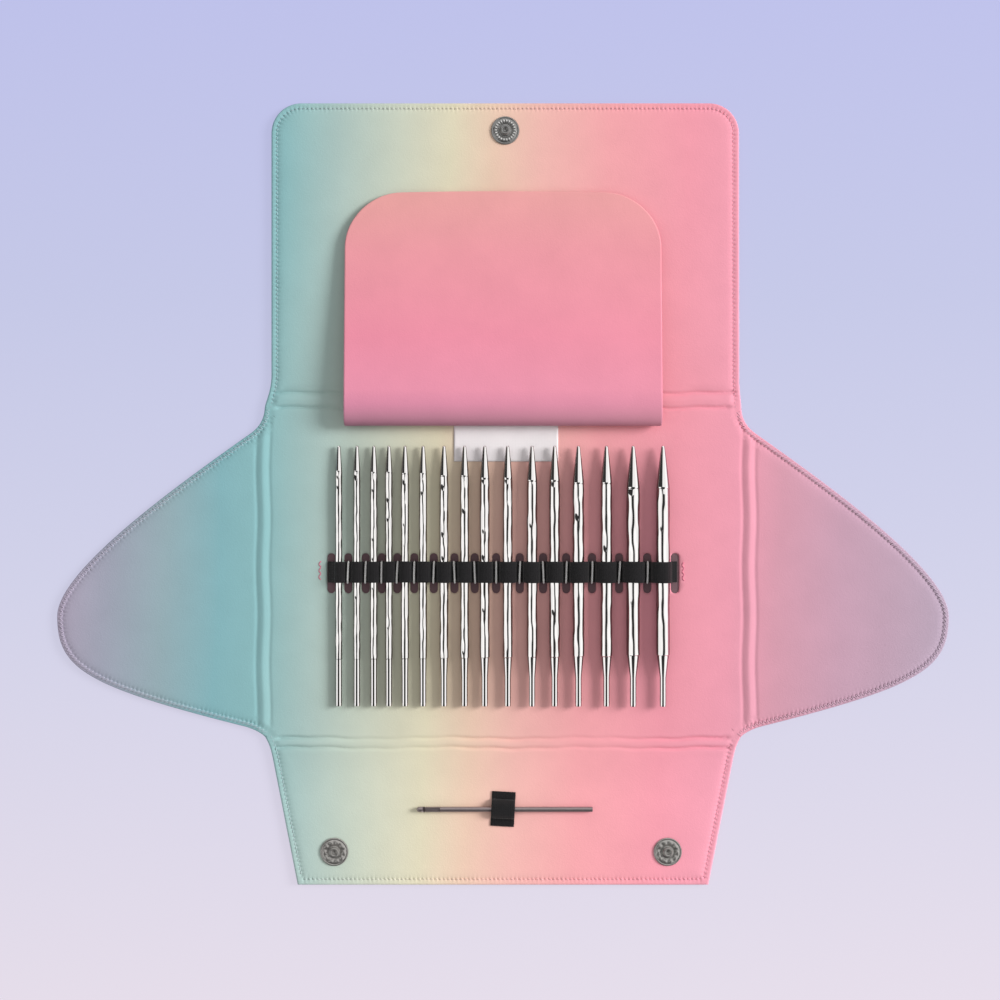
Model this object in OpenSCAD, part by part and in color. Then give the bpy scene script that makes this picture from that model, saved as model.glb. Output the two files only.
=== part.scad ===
// Folding case for interchangeable knitting needle tips, lying open and flat.
// A centre panel holds sixteen tips under one woven elastic. Four flaps fold over it.
// Millimetres. Origin under the middle of the case, +Y towards the top flap, +Z up.

/* [Panels] */
// Thickness of the outer cover and of the lining
sheet_t = 0.7; // [0.5:0.1:1]
// Thickness of the foam board inside each panel
foam_t = 1.6; // [1:0.1:3]
// Width of the stitched rim that holds no foam
rim_w = 4; // [3:0.5:6]
// Half width of the centre panel
centre_hw = 118; // [110:1:125]
// Upper edge of the centre panel
centre_top = 42.5; // [40:0.5:46]
// Lower edge of the centre panel, measured down from the origin
centre_bottom = 121.5; // [115:0.5:130]
// Width of the fold strip at the top flap
top_gutter = 8; // [6:0.5:12]
// Width of the other three fold strips
gutter = 6; // [5:0.5:10]

/* [Flaps] */
// Width of the top flap
top_w = 233.4; // [220:0.2:236]
// How far the top flap sits to the right of the middle
top_shift = 1.1; // [0:0.1:2]
// Corner radius of the top flap
top_corner = 15; // [5:1:30]
// Length of the whole case from top to bottom
case_l = 390; // [380:1:400]
// Width of the bottom flap at its fold
bottom_root_w = 231; // [220:1:236]
// Width of the bottom flap at its free edge
bottom_free_w = 205; // [180:1:230]
// Distance from the middle to each wing's tip
wing_reach = 222.5; // [215:0.5:230]
// Height of the wing tips below the origin
wing_tip_drop = 61; // [50:1:70]

/* [Needles] */
// Diameters, two needles of each
needle_sizes = [3.5, 3.75, 4, 4.5, 5, 5.5, 6, 7];
// Distance from each needle to the next
needle_gaps = [9, 8.4, 7.5, 8, 9, 10.4, 10.2, 10, 11.4, 12.1, 11.2, 11.8, 13.9, 13.2, 14.8];
// Position of the first needle
first_needle_x = -81.6; // [-84:0.1:-78]
// Position of the points
tip_y = 24; // [20:0.5:26]
// Rounding of the body's ridges, as a share of the diameter
ridge_round = 0.12; // [0.08:0.01:0.2]
// Length of one needle tip
needle_l = 129.5; // [120:0.5:130]
// Diameter of the plain end that takes the cord
shank_d = 2.8; // [2.4:0.1:3.2]

/* [Elastic] */
// Width of the elastic that holds the needles
elastic_w = 11.5; // [8:0.5:14]
// Thickness of the elastic
elastic_t = 0.7; // [0.5:0.1:0.8]
// Height of the elastic's middle, down from the origin
elastic_drop = 39.5; // [36:0.5:44]
// Width of each slot in the lining
slot_w = 4; // [3.6:0.2:4.4]
// Length of each slot in the lining
slot_l = 20; // [16:1:24]
// Distance from the last needle to the last slot
end_slot_gap = 6.3; // [6:0.1:7]

/* [Needle flap] */
// Width of the flap that covers the points
flap_w = 157; // [140:1:160]
// Free end of the flap as it lies open
flap_free_y = 150.5; // [130:0.5:155]
// Radius of the free corners
flap_corner = 25; // [10:1:35]
// Position of the rolled hem
hem_y = 35; // [33:0.5:37]
// Radius of the rolled hem
hem_r = 1.3; // [1:0.1:1.5]
// Thickness of the riser under the hem
riser_t = 1.2; // [0.9:0.1:1.5]
// Distance that the riser leans forward
riser_lean = 3.6; // [2:0.1:4.5]
// Width of the riser's sewn foot
riser_foot = 4; // [3:0.1:5]

/* [Trim] */
// Width of the blank label
label_w = 52; // [40:1:60]
// Length of the blank label that shows
label_l = 17; // [12:0.5:20]
// Diameter of the snaps
snap_d = 14; // [12:0.5:18]
// Height of the snaps above the lining
snap_h = 2.4; // [1.6:0.1:2.4]
// Distance from the bottom flap's sides to its snaps
side_snap_gap = 19.5; // [16:0.5:24]
// Share of the bottom flap between its fold and the rod tool
tool_place = 0.434; // [0.38:0.002:0.48]
// Diameter of the rod tool
rod_d = 2.6; // [2:0.1:3]
// Length of the rod tool
rod_l = 87.5; // [70:0.5:100]
// Width of the loop round the rod
loop_w = 13; // [8:0.5:16]

/* [Hidden] */
seat = 0.3;
skin = 0.05;
panel_t = 2 * sheet_t + foam_t;
lining_z = sheet_t + foam_t;
stitch_step = 0.8;
needle_z = panel_t + seat;
big_d = max(needle_sizes);
band_top = needle_z + big_d + seat + elastic_t;

// Fold axes: each flap comes to lie flat over what is already folded
flap_t = 1.4;
hem_z = band_top + seat + skin + flap_t / 2;
wing_inside_z = hem_z + flap_t / 2 + seat;
wing_axis_z = (wing_inside_z + panel_t) / 2;
wing_axis_x = centre_hw + gutter / 2;
bottom_inside_z = wing_inside_z + panel_t + seat + rod_d + seat;
bottom_axis_z = (bottom_inside_z + panel_t) / 2;
bottom_axis_y = -centre_bottom - gutter / 2;
top_inside_z = bottom_inside_z + panel_t + snap_h + seat;
top_axis_z = (top_inside_z + panel_t) / 2;
top_axis_y = centre_top + top_gutter / 2;
flap_l = flap_free_y - hem_y;
flap_tilt = asin((hem_z - flap_t / 2 - panel_t - seat - skin) / flap_l);

// Snap places, and where their other halves land when the case is folded
top_snap = [top_shift, case_l / 2 - snap_d];
left_snap = [-bottom_free_w / 2 + side_snap_gap - 1, -case_l / 2 + 1.2 * snap_d];
right_snap = [bottom_free_w / 2 - side_snap_gap - 1, -case_l / 2 + 1.2 * snap_d];
left_socket_at = [-2 * wing_axis_x - left_snap[0], 2 * bottom_axis_y - left_snap[1]];
right_socket_at = [2 * wing_axis_x - right_snap[0], 2 * bottom_axis_y - right_snap[1]];
front_socket_at = [top_snap[0], 2 * bottom_axis_y - (2 * top_axis_y - top_snap[1])];
bottom_l = case_l / 2 - centre_bottom - gutter;
tool_at = [0.8, -centre_bottom - gutter - tool_place * bottom_l];

// Colours
lining_mid = [0.90, 0.80, 0.70];
lining_pink = [0.93, 0.60, 0.66];
lining_blue = [0.62, 0.72, 0.78];
cover_pink = [0.86, 0.56, 0.66];
foam_grey = [0.80, 0.80, 0.78];
black = [0.09, 0.09, 0.10];
steel = [0.80, 0.81, 0.83];
white = [0.96, 0.95, 0.93];

// Outlines

function cubic(a, b, c, d, t) =
    pow(1 - t, 3) * a + 3 * pow(1 - t, 2) * t * b + 3 * (1 - t) * t * t * c + t * t * t * d;

function unit(v) = v / norm(v);

// Points moved to the left of the way they run
function inset(pts, gap) = [
    for (i = [0 : len(pts) - 1])
        let (
            before = pts[max(i - 1, 0)],
            after = pts[min(i + 1, len(pts) - 1)],
            way = unit(after - before)
        )
        pts[i] + gap * [-way[1], way[0]]
];

// Right wing from its fold's lower end round the tip to the fold's upper end
function wing_edge() =
    let (
        root = wing_axis_x + gutter / 2,
        tip = [wing_reach, -wing_tip_drop],
        low = [root + gutter * 2 / 3, -centre_bottom * 0.957],
        high = [root + gutter * 0.4, centre_top * 0.732],
        low_reach = tip[0] - low[0],
        high_reach = tip[0] - high[0],
        low_pull = low + low_reach * [0.862, 0.216],
        high_pull = high + high_reach * [0.415, -0.278],
        tip_low = tip - [0, 0.47 * (tip[1] - low[1])],
        tip_high = tip + [0, 0.27 * (high[1] - tip[1])]
    )
    concat(
        [low - gutter * [1 / 3, 0.13]],
        [for (k = [0 : 22]) cubic(low, low_pull, tip_low, tip, k / 22)],
        [for (k = [1 : 22]) cubic(tip, tip_high, high_pull, high, k / 22)]
    );

module wing_outline(gap) {
    root = wing_axis_x + gutter / 2 + gap;
    edge = [for (p = inset(wing_edge(), gap)) if (p[0] > root + 0.8) p];
    polygon(concat([[root, edge[0][1] - 0.5]], edge, [[root, edge[len(edge) - 1][1] + 1.5]]));
}

module centre_outline(gap) {
    polygon([
        [-centre_hw + gap, -centre_bottom + gap],
        [centre_hw - gap, -centre_bottom + gap],
        [centre_hw - gap, centre_top - gap],
        [-centre_hw + gap, centre_top - gap]
    ]);
}

module top_outline(gap) {
    r = top_corner - gap;
    low = centre_top + top_gutter + gap;
    high = case_l / 2 - gap;
    hw = top_w / 2 - gap;
    translate([top_shift, 0])
        polygon(concat(
            [[-hw, low], [hw, low]],
            [for (a = [0 : 9 : 90]) [hw - r + r * cos(a), high - r + r * sin(a)]],
            [for (a = [90 : 9 : 180]) [-hw + r + r * cos(a), high - r + r * sin(a)]]
        ));
}

module bottom_outline(gap) {
    root_y = -centre_bottom - gutter - gap;
    free_y = -case_l / 2 + gap;
    polygon([
        [-bottom_free_w / 2 + gap, free_y],
        [bottom_free_w / 2 - gap, free_y],
        [bottom_root_w / 2 - gap, root_y],
        [-bottom_root_w / 2 + gap, root_y]
    ]);
}

module outline(panel, gap = 0) {
    if (panel == "centre") centre_outline(gap);
    if (panel == "top") top_outline(gap);
    if (panel == "bottom") bottom_outline(gap);
    if (panel == "right") wing_outline(gap);
    if (panel == "left") mirror([1, 0]) wing_outline(gap);
}

// Panel layers

module cover(panel) {
    linear_extrude(sheet_t) outline(panel);
}

// The lining turns down over the foam and is stitched to the cover along the rim
module lining(panel) {
    difference() {
        union() {
            translate([0, 0, sheet_t])
                linear_extrude(panel_t - sheet_t - stitch_step) outline(panel);
            translate([0, 0, sheet_t])
                linear_extrude(panel_t - sheet_t) outline(panel, rim_w - 1.2);
        }
        translate([0, 0, sheet_t - 1])
            linear_extrude(foam_t + 1) outline(panel, rim_w);
    }
}

module foam(panel) {
    translate([0, 0, sheet_t + skin])
        linear_extrude(foam_t - 2 * skin) outline(panel, rim_w + skin * 2);
}

// Washers

washer_d = 11;
washer_t = 0.4;

module washer_under_lining(at) {
    translate([at[0], at[1], lining_z - skin - washer_t]) cylinder(d = washer_d, h = washer_t, $fn = 48);
}

module washer_over_cover(at) {
    translate([at[0], at[1], sheet_t + skin]) cylinder(d = washer_d, h = washer_t, $fn = 48);
}

module washer_room_high(at) {
    translate([at[0], at[1], lining_z - 2 * skin - washer_t])
        cylinder(d = washer_d + 0.4, h = 2, $fn = 48);
}

module washer_room_low(at) {
    translate([at[0], at[1], -1]) cylinder(d = washer_d + 0.4, h = 1 + sheet_t + washer_t + 2 * skin, $fn = 48);
}

// Snaps: a stud with a raised band stands on the lining, its socket is let into the cover

module snap_stud(at) {
    r = snap_d / 2;
    translate([at[0], at[1], panel_t])
        rotate_extrude($fn = 64)
            polygon([
                [0, 0], [r, 0], [r, 0.5], [r - 0.4, 0.9], [r - 1, 1.3], [r - 2.6, 1.3], [r - 3.1, 0.8],
                [2.8, 0.8], [2.3, 1.2], [2.1, snap_h], [1, snap_h], [0.7, snap_h - 0.4], [0, snap_h - 0.4]
            ]);
}

module snap_socket(at) {
    r = snap_d / 2;
    translate([at[0], at[1], skin])
        rotate_extrude($fn = 64)
            polygon([
                [0, 0.35], [2.7, 0.35], [3, 0], [r - 0.4, 0], [r, 0.3], [r, sheet_t - 2 * skin],
                [0, sheet_t - 2 * skin]
            ]);
}

module socket_room(at) {
    translate([at[0], at[1], -1]) cylinder(r = snap_d / 2 + 0.15, h = 3, $fn = 64);
}

// Fold strips: two pressed creases run along each one

module fold_profile(width) {
    hw = width / 2 - seat;
    steps = 24;
    polygon(concat(
        [
            for (k = [0 : steps])
                let (x = -hw + 2 * hw * k / steps)
                [x, 2.1 - 0.35 * (1 - cos(720 * k / steps)) / 2]
        ],
        [
            for (k = [steps : -1 : 0])
                let (x = -hw + 2 * hw * k / steps)
                [x, 0.9 - 0.35 * (1 - cos(720 * k / steps)) / 2]
        ]
    ));
}

module fold_along_x(from, to, y, width) {
    translate([to, y, 0]) rotate([90, 0, -90]) linear_extrude(to - from) fold_profile(width);
}

module fold_along_y(from, to, x, width) {
    translate([x, to, 0]) rotate([90, 0, 0]) linear_extrude(to - from) fold_profile(width);
}

// Needles

function needle_d(i) = needle_sizes[floor(i / 2)];

function needle_x(i) = i == 0 ? first_needle_x : needle_x(i - 1) + needle_gaps[i - 1];

function slot_x(i) =
    i == 0 ? needle_x(0) - 3.9 :
    i == 16 ? needle_x(15) + end_slot_gap :
    (needle_x(i - 1) + needle_x(i)) / 2;

// Cross section of the pressed body: a square with rounded corners, one corner up
module body_section(d) {
    r = d * ridge_round;
    half = (d / 2 - r) / sqrt(2);
    rotate(45) {
        square([2 * (half + r), 2 * half], center = true);
        square([2 * half, 2 * (half + r)], center = true);
        for (sx = [-1, 1], sy = [-1, 1])
            translate([sx * half, sy * half]) circle(r, $fn = 32);
    }
}

// One needle tip along -Y: point, long taper, pressed body, short taper, plain end
module needle(i) {
    d = needle_d(i);
    point_r = 0.65;
    taper_l = 13 + 2.4 * (d - 3.5);
    body_end = needle_l - 23.5 - 0.6 * (d - 3.5);
    shank_from = needle_l - 14.5;
    translate([needle_x(i), tip_y, needle_z + d / 2]) rotate([90, 0, 0]) {
        translate([0, 0, point_r]) sphere(point_r, $fn = 32);
        translate([0, 0, point_r]) cylinder(r1 = point_r, r2 = d * 0.43, h = taper_l - point_r, $fn = 48);
        translate([0, 0, taper_l]) linear_extrude(body_end - taper_l) body_section(d);
        translate([0, 0, body_end])
            cylinder(r1 = d * 0.43, r2 = shank_d / 2, h = shank_from - body_end, $fn = 48);
        translate([0, 0, shank_from]) cylinder(d = shank_d, h = needle_l - shank_from - 0.3, $fn = 48);
        translate([0, 0, needle_l - 0.3])
            cylinder(d1 = shank_d, d2 = shank_d - 0.6, h = 0.3, $fn = 48);
    }
}

// Elastic

// A ribbon of even thickness along a line of points
module ribbon(line, thick) {
    polygon(concat(inset(line, thick / 2), reverse(inset(line, -thick / 2))));
}

function reverse(v) = [for (i = [len(v) - 1 : -1 : 0]) v[i]];

// One hump from the left foot to the right foot, square shouldered as power rises
function hump(left, right, height, low, power, steps) =
    let (mid = (left + right) / 2, half = (right - left) / 2)
    [
        for (k = [0 : steps])
            let (a = 180 - 180 * k / steps, c = cos(a), s = sin(a))
            [mid + half * sign(c) * pow(abs(c), 2 / power), low + height * pow(abs(s), 2 / power)]
    ];

// The band runs down into every slot and over every needle in turn
band_low = lining_z + 0.1 + elastic_t / 2;
foot = 1.1;

function band_line() = concat(
    [[slot_x(0) - 1.6, band_low]],
    [
        for (i = [0 : 15])
            each hump(slot_x(i) + foot, slot_x(i + 1) - foot,
                needle_z + needle_d(i) + seat + elastic_t / 2 - band_low, band_low, 3, 22)
    ],
    [[slot_x(16) + 1.6, band_low]]
);

module elastic_band() {
    color(black)
        translate([0, -elastic_drop + elastic_w / 2, 0]) rotate([90, 0, 0])
            linear_extrude(elastic_w) ribbon(band_line(), elastic_t);
}

// One bar of thread across the band in each slot
module bar_tacks() {
    tack_w = 1.1;
    tack_l = 14.5;
    color(white)
        for (i = [0 : 16])
            translate([slot_x(i), -elastic_drop, band_low + elastic_t / 2 + skin]) rotate([0, 0, 1.2]) {
                translate([-tack_w / 2, -tack_l / 2 + tack_w / 2, 0])
                    cube([tack_w, tack_l - tack_w, 0.45]);
                for (s = [-1, 1])
                    translate([0, s * (tack_l - tack_w) / 2, 0]) cylinder(d = tack_w, h = 0.45, $fn = 24);
            }
}

module needle_slots() {
    for (i = [0 : 16])
        translate([slot_x(i), -elastic_drop, 0]) {
            translate([-slot_w / 2, -(slot_l - slot_w) / 2, 0]) cube([slot_w, slot_l - slot_w, 9]);
            for (s = [-1, 1])
                translate([0, s * (slot_l - slot_w) / 2, 0]) cylinder(d = slot_w, h = 9, $fn = 32);
        }
}

// Centre panel

module centre_cover() {
    color(cover_pink) cover("centre");
}

module centre_foam() {
    color(foam_grey) foam("centre");
}

module centre_lining() {
    color(lining_mid) difference() {
        lining("centre");
        needle_slots();
    }
}

module label() {
    color(white)
        translate([1.5 - label_w / 2, hem_y - 2 - label_l, panel_t + skin])
            cube([label_w, label_l, 0.2]);
}

// The riser is sewn to the panel by its foot and leans forward to the hem
module flap_riser() {
    color(cover_pink)
        translate([flap_w / 2 - 2, hem_y - riser_t / 3, 0]) rotate([90, 0, -90])
            linear_extrude(flap_w - 4)
                polygon([
                    [-riser_lean, panel_t],
                    [0, hem_z - hem_r - seat],
                    [-riser_t, hem_z - hem_r - seat],
                    [-riser_lean - 0.8 * riser_t, panel_t + riser_t],
                    [-riser_lean - 1.2 * riser_t, panel_t + sheet_t],
                    [-riser_lean - riser_foot, panel_t + sheet_t],
                    [-riser_lean - riser_foot, panel_t]
                ]);
}

module flap_hem() {
    color(cover_pink)
        translate([-flap_w / 2 + 1, hem_y, hem_z]) rotate([0, 90, 0])
            cylinder(r = hem_r, h = flap_w - 2, $fn = 48);
}

// Needle flap, lying back over the top flap

module flap_sheet(low, thick, gap) {
    from = hem_r + seat + 0.1;
    hw = flap_w / 2 - gap;
    r = flap_corner - gap;
    end = flap_l - gap;
    translate([0, hem_y, hem_z]) rotate([-flap_tilt, 0, 0]) translate([0, 0, low])
        linear_extrude(thick)
            polygon(concat(
                [[-hw, from], [hw, from]],
                [for (a = [0 : 6 : 90]) [hw - r + r * cos(a), end - r + r * sin(a)]],
                [for (a = [90 : 6 : 180]) [-hw + r + r * cos(a), end - r + r * sin(a)]]
            ));
}

module needle_flap_face() {
    color(lining_pink) flap_sheet(0, flap_t / 2, 0);
}

module needle_flap_backing() {
    color(cover_pink) flap_sheet(-flap_t / 2, flap_t / 2, 0.8);
}

// Top flap

module top_cover() {
    color(cover_pink) cover("top");
}

module top_foam() {
    color(foam_grey) difference() {
        foam("top");
        washer_room_high(top_snap);
    }
}

module top_lining() {
    color(lining_mid) lining("top");
}

module top_snap() {
    color(steel) snap_stud(top_snap);
}

module top_washer() {
    color(steel) washer_under_lining(top_snap);
}

// Bottom flap

module bottom_cover() {
    color(cover_pink) difference() {
        cover("bottom");
        socket_room(front_socket_at);
    }
}

module bottom_foam() {
    color(foam_grey) difference() {
        foam("bottom");
        washer_room_high(left_snap);
        washer_room_high(right_snap);
        washer_room_low(front_socket_at);
    }
}

module bottom_lining() {
    color(lining_mid) lining("bottom");
}

module bottom_snaps() {
    color(steel) {
        snap_stud(left_snap);
        snap_stud(right_snap);
    }
}

module bottom_washers() {
    color(steel) {
        washer_under_lining(left_snap);
        washer_under_lining(right_snap);
        washer_over_cover(front_socket_at);
    }
}

module front_socket() {
    color(steel) snap_socket(front_socket_at);
}

// The loop stands over the rod, both feet sewn to the lining
module tool_loop() {
    low = panel_t + skin + elastic_t / 2;
    line = concat(
        [[-8.8, low]],
        hump(-4.6, 4.6, seat + rod_d + seat, low, 2.3, 28),
        [[8.8, low]]
    );
    color(black)
        translate([tool_at[0] - loop_w / 2, tool_at[1], 0]) rotate([90, 0, 90])
            linear_extrude(loop_w) ribbon(line, elastic_t);
}

// Rod with a hook cut into its left end
module rod_tool() {
    r = rod_d / 2;
    color([0.36, 0.33, 0.34])
        translate([tool_at[0] - rod_l / 2, tool_at[1], panel_t + seat + r]) rotate([0, 90, 0])
            difference() {
                union() {
                    translate([0, 0, r]) sphere(r, $fn = 48);
                    translate([0, 0, r]) cylinder(r = r, h = rod_l - r - 0.2, $fn = 48);
                    translate([0, 0, rod_l - 0.2]) cylinder(r1 = r, r2 = r - 0.2, h = 0.2, $fn = 48);
                }
                translate([-r - 0.9, -3, 3.4]) rotate([0, 32, 0]) cube([1.9, 6, 1.5]);
                translate([-r - 1, -3, 4.6]) cube([1.5, 6, 7]);
            }
}

// Wings

module left_cover() {
    color(cover_pink) difference() {
        cover("left");
        socket_room(left_socket_at);
    }
}

module left_foam() {
    color(foam_grey) difference() {
        foam("left");
        washer_room_low(left_socket_at);
    }
}

module left_lining() {
    color(lining_blue) lining("left");
}

module left_socket() {
    color(steel) snap_socket(left_socket_at);
}

module left_washer() {
    color(steel) washer_over_cover(left_socket_at);
}

module right_cover() {
    color(cover_pink) difference() {
        cover("right");
        socket_room(right_socket_at);
    }
}

module right_foam() {
    color(foam_grey) difference() {
        foam("right");
        washer_room_low(right_socket_at);
    }
}

module right_lining() {
    color(lining_pink) lining("right");
}

module right_socket() {
    color(steel) snap_socket(right_socket_at);
}

module right_washer() {
    color(steel) washer_over_cover(right_socket_at);
}

// Fold strips

module top_fold() {
    color(lining_mid)
        fold_along_x(top_shift - top_w / 2 + 1, top_shift + top_w / 2 - 1, top_axis_y, top_gutter);
}

module bottom_fold() {
    color(lining_mid)
        fold_along_x(-bottom_root_w / 2 + 1, bottom_root_w / 2 - 1, bottom_axis_y, gutter);
}

module left_fold() {
    color(lining_blue) fold_along_y(-centre_bottom + 4, centre_top - 7.5, -wing_axis_x, gutter);
}

module right_fold() {
    color(lining_pink) fold_along_y(-centre_bottom + 4, centre_top - 7.5, wing_axis_x, gutter);
}

module tip(i) {
    color(steel) needle(i);
}

centre_cover();
centre_foam();
centre_lining();
elastic_band();
bar_tacks();
label();
flap_riser();
flap_hem();
needle_flap_face();
needle_flap_backing();
top_fold();
top_cover();
top_foam();
top_lining();
top_snap();
top_washer();
bottom_fold();
bottom_cover();
bottom_foam();
bottom_lining();
bottom_snaps();
bottom_washers();
front_socket();
tool_loop();
rod_tool();
left_fold();
left_cover();
left_foam();
left_lining();
left_socket();
left_washer();
right_fold();
right_cover();
right_foam();
right_lining();
right_socket();
right_washer();
tip(0);  // needle_3_5_a
tip(1);  // needle_3_5_b
tip(2);  // needle_3_75_a
tip(3);  // needle_3_75_b
tip(4);  // needle_4_a
tip(5);  // needle_4_b
tip(6);  // needle_4_5_a
tip(7);  // needle_4_5_b
tip(8);  // needle_5_a
tip(9);  // needle_5_b
tip(10);  // needle_5_5_a
tip(11);  // needle_5_5_b
tip(12);  // needle_6_a
tip(13);  // needle_6_b
tip(14);  // needle_7_a
tip(15);  // needle_7_b
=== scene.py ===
import bpy
import math
import random
import numpy as np
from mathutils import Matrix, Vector, kdtree, noise
from mathutils.geometry import delaunay_2d_cdt


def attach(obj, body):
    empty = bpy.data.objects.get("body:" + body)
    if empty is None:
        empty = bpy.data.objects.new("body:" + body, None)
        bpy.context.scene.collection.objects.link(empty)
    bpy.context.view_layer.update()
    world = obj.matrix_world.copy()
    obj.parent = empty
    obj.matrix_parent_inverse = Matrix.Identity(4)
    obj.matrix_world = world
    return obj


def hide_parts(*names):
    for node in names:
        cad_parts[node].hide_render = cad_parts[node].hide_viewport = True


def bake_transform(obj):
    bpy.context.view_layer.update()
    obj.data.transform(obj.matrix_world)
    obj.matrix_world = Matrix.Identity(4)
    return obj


# Folding needle case, open and flat. Lengths below are in millimetres until a mesh is made.
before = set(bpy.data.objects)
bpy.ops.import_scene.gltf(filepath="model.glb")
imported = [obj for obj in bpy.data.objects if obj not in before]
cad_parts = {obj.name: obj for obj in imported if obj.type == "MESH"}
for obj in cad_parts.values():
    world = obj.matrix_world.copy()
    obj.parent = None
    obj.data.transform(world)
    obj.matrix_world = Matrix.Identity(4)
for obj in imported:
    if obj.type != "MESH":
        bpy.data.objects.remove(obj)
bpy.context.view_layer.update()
scene = bpy.context.scene
random.seed(7)
mm = 0.001  # in metres


# small helpers

def linear(hexColour):
    # sRGB hex to the linear colour that nodes take
    parts = [int(hexColour[i:i + 2], 16) / 255 for i in (0, 2, 4)]
    return [c / 12.92 if c <= 0.04045 else ((c + 0.055) / 1.055) ** 2.4 for c in parts] + [1.0]


def darker(hexColour, share):
    return [c * share for c in linear(hexColour)[:3]] + [1.0]


def smooth(a, b, x):
    # 0 at a and 1 at b, with a soft start and end
    t = np.clip((np.asarray(x, float) - a) / (b - a), 0, 1)
    return t * t * (3 - 2 * t)


def bell(x, width):
    return np.exp(-(np.asarray(x, float) / width) ** 2)


def quarterRound(gap, radius):
    # a quarter circle: 0 at the edge, 1 from the radius inwards
    return np.sqrt(np.clip(1 - (1 - np.minimum(gap, radius) / radius) ** 2, 0, 1))


def cubic(a, b, c, d, count):
    a, b, c, d = (np.array(p, float) for p in (a, b, c, d))
    t = np.linspace(0, 1, count)[:, None]
    return (1 - t) ** 3 * a + 3 * (1 - t) ** 2 * t * b + 3 * (1 - t) * t * t * c + t ** 3 * d


def roundedTop(halfWidth, high, radius, shift=0.0):
    # two rounded corners, from the right side to the left side
    a = np.radians(np.arange(0, 91, 5))
    arc = np.stack([np.cos(a), np.sin(a)], 1) * radius
    return np.concatenate([arc + (halfWidth - radius + shift, high - radius),
                           arc[::-1] * (-1, 1) + (-halfWidth + radius + shift, high - radius)])


def arch(left, right, low, height, power, count):
    # half a superellipse that stands on the height called low
    a = np.radians(180 - 180 * np.arange(count) / (count - 1))
    c, s = np.cos(a), np.sin(a)
    return list(zip((left + right) / 2 + (right - left) / 2 * np.sign(c) * np.abs(c) ** (2 / power),
                    low + height * np.abs(s) ** (2 / power)))


def runLengths(line):
    # how far along a line each of its points is
    return np.r_[0, np.cumsum(np.linalg.norm(np.diff(line, axis=0), axis=1))]


def placesAt(line, at):
    lengths = runLengths(line)
    return np.stack([np.interp(at, lengths, line[:, k]) for k in range(line.shape[1])], 1)


def resample(line, step):
    # even spacing along a line of points, both ends kept
    line = np.asarray(line, float)
    length = runLengths(line)[-1]
    return placesAt(line, np.linspace(0, length, max(2, int(round(length / step)) + 1)))


def wayOf(line):
    # the way a line runs at each of its points
    way = np.gradient(line, axis=0)
    return way / np.linalg.norm(way, axis=1)[:, None]


def leftOf(line, gap):
    # the line moved to the left of the way it runs
    way = wayOf(line)
    return line + gap * np.stack([-way[:, 1], way[:, 0]], 1)


def distanceTo(points, lines):
    # shortest distance from each point to the lines
    best = np.full(len(points), 1e9)
    for line in lines:
        a, b = line[:-1], line[1:]
        d = b - a
        dd = (d ** 2).sum(1) + 1e-12
        for k in range(0, len(points), 4000):
            p = points[k:k + 4000, None]
            t = np.clip(((p - a) * d).sum(2) / dd, 0, 1)
            gap = np.linalg.norm(a + t[..., None] * d - p, axis=2).min(1)
            best[k:k + 4000] = np.minimum(best[k:k + 4000], gap)
    return best


def inside(points, loop):
    x, y = points[:, 0], points[:, 1]
    hit = np.zeros(len(points), bool)
    for (x0, y0), (x1, y1) in zip(loop, np.roll(loop, -1, 0)):
        crosses = (y0 > y) != (y1 > y)
        with np.errstate(divide="ignore", invalid="ignore"):
            hit ^= crosses & (x < (x1 - x0) * (y - y0) / (y1 - y0) + x0)
    return hit


def closed(loop):
    return np.vstack([loop, loop[:1]])


def ripple(points, scale, seed):
    # soft noise between -1 and 1, scale in millimetres
    return np.array([noise.noise(Vector((p[0] / scale, p[1] / scale, seed))) for p in points])


def around(count):
    # cosine and sine of even steps round a circle
    return [(math.cos(2 * math.pi * a / count), math.sin(2 * math.pi * a / count)) for a in range(count)]


def tubeFaces(rings, ring, startCap=False, endCap=True):
    # quads between each ring of vertices and the next, and a cap at either end
    last = (rings - 1) * ring
    quads = [[k + a, k + (a + 1) % ring, k + ring + (a + 1) % ring, k + ring + a]
             for k in range(0, last, ring) for a in range(ring)]
    return quads + [list(range(ring))[::-1]] * startCap + [list(range(last, last + ring))] * endCap


def flatGrid(xs, ys):
    # points and quads of an even sheet
    n = len(xs)
    quads = [[r * n + c, r * n + c + 1, (r + 1) * n + c + 1, (r + 1) * n + c]
             for r in range(len(ys) - 1) for c in range(n - 1)]
    return np.array([(x, y) for y in ys for x in xs]), quads


def joined(parts):
    # several (verts, faces) as one
    verts, faces, start = [], [], 0
    for v, f in parts:
        verts.append(np.asarray(v, float))
        faces += [[i + start for i in face] for face in f]
        start += len(v)
    return np.concatenate(verts), faces


def makeObject(name, verts, faces, material, flat=None):
    # verts in millimetres; the UV map gets each vertex's place on the printed sheet, which is its x and y, or
    # flat where the piece is folded or its material reads something else
    name = name.replace(" ", "_")
    verts = np.asarray(verts, float)
    mesh = bpy.data.meshes.new(name)
    mesh.from_pydata([tuple(v) for v in verts * mm], [], [tuple(int(i) for i in f) for f in faces])
    obj = bpy.data.objects.new(name, mesh)
    scene.collection.objects.link(obj)
    mesh.materials.append(material)
    where = verts[:, :2] if flat is None else np.asarray(flat, float)
    layer = mesh.uv_layers.new(name="sheet")
    index = np.empty(len(mesh.loops), int)
    mesh.loops.foreach_get("vertex_index", index)
    layer.data.foreach_set("uv", (where[index] * mm + 0.5).astype(np.float32).ravel())
    mesh.shade_smooth()
    return obj


# materials


def newMaterial(name):
    m = bpy.data.materials.new(name)
    m.use_nodes = True
    return m, m.node_tree, m.node_tree.nodes["Principled BSDF"]


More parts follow.
